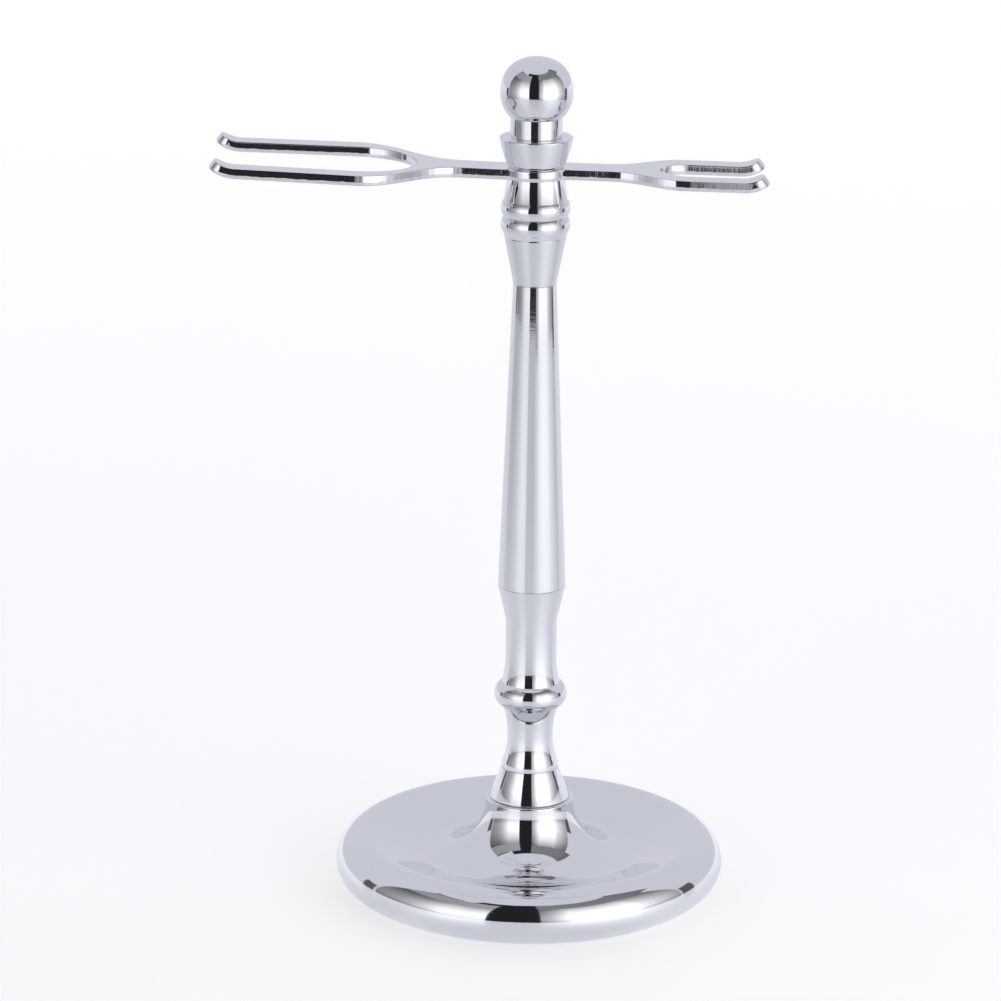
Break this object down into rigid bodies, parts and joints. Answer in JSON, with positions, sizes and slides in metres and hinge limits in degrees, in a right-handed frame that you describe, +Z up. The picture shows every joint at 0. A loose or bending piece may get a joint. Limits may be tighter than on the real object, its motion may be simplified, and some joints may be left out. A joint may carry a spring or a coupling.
{
  "type": "razor and shaving brush stand",
  "caption": "Chrome razor and shaving brush stand: turned column on a weighted round base, with a double-ended slotted cradle clamped under a screw-down ball finial.",
  "frame": {"origin": "centre of the pad's underside, on the column's axis, in the plane of the table", "axes": "+Z up along the column, +X towards the razor end of the cradle, -X towards its brush end"},
  "size_m": [0.1051, 0.076, 0.1652],
  "materials": {
    "chrome": "mirror polished plate",
    "steel": "bright zinc plate",
    "iron": "as cast",
    "rubber": "matt foam rubber"
  },
  "bodies": {
    "stand": {"base_pad": "rubber", "base_weight": "iron", "base_shell": "chrome", "base_bolt": "steel", "bolt_washer": "steel", "lock_washer": "steel", "foot_cone": "chrome", "column_foot": "chrome", "foot_stud": "steel", "column_shaft": "chrome", "cap_stud": "steel", "column_cap": "chrome"},
    "cradle": {"cradle_plate": "chrome"},
    "collar": {"finial_collar": "chrome"},
    "knob": {"finial_ball": "chrome", "finial_stud": "steel"}
  },
  "joints": [
    {"name": "cradle_swivel", "type": "hinge", "parent": "stand", "child": "cradle", "pos_m": [0, 0, 0.1433], "axis": [0, 0, 1], "continuous": true},
    {"name": "knob_lift", "type": "slide", "parent": "stand", "child": "collar", "axis": [0, 0, 1], "range_m": [0, 0.0081]},
    {"name": "knob_turn", "type": "hinge", "parent": "collar", "child": "knob", "pos_m": [0, 0, 0.1586], "axis": [0, 0, 1], "range_deg": [0, 3600]}
  ],
  "couplings": [
    {"joint": "knob_lift", "follows": "knob_turn", "m_per_rad": 0.00012732}
  ]
}
